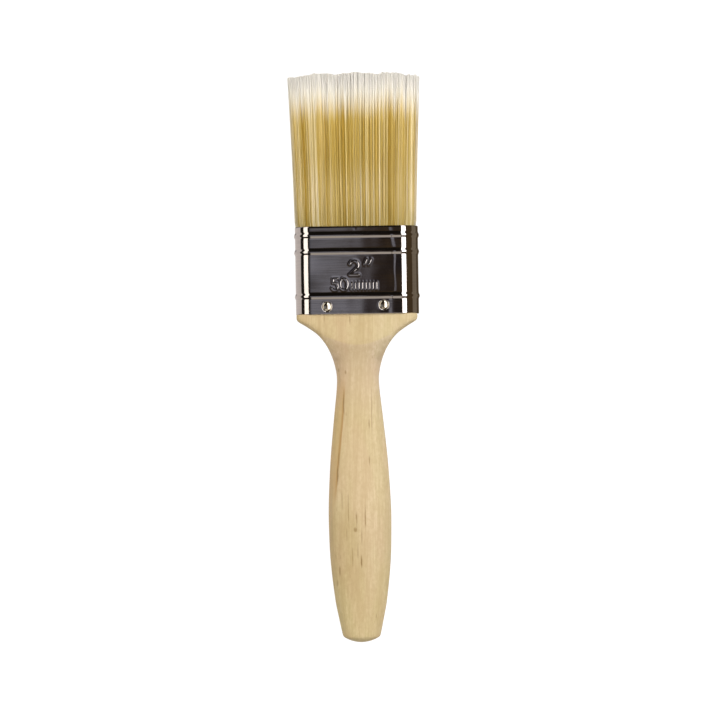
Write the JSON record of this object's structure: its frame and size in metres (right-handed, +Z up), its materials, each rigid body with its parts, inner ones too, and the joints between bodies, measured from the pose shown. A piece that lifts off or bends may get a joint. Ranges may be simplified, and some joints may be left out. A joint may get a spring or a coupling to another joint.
{
  "type": "flat paint brush",
  "caption": "Flat 50 mm paint brush: pale wood handle, nickel-plated ferrule with beads and nails, tapered synthetic filament with white tips.",
  "frame": {"origin": "centre of the overall box, on the surface that the brush lies on with its stamped front face up", "axes": "+Y runs along the brush towards the filament tips, +Z is up through the front face, +X is the ferrule's seam edge"},
  "size_m": [0.054, 0.234, 0.0164],
  "materials": {
    "handle_wood": "matte",
    "nickel_steel": "polished",
    "nail_steel": "polished",
    "epoxy": "gloss",
    "spacer_strip": "matte",
    "filament": "satin"
  },
  "bodies": {
    "grip": {"handle": "handle_wood", "ferrule": "nickel_steel", "front_nail_left": "nail_steel", "front_nail_right": "nail_steel", "back_nail_left": "nail_steel", "back_nail_right": "nail_steel", "epoxy_setting": "epoxy", "spacer_front": "spacer_strip", "spacer_back": "spacer_strip", "filament_root_front": "filament", "filament_root_middle": "filament", "filament_root_back": "filament"},
    "filament_head": {"filament_front": "filament", "filament_middle": "filament", "filament_back": "filament"}
  },
  "joints": [
    {"name": "filament_flex", "type": "hinge", "parent": "grip", "child": "filament_head", "pos_m": [0, 0.0618, 0.0082], "axis": [1, 0, 0], "range_deg": [-35, 35], "stiffness_Nm_per_rad": 0.4}
  ]
}
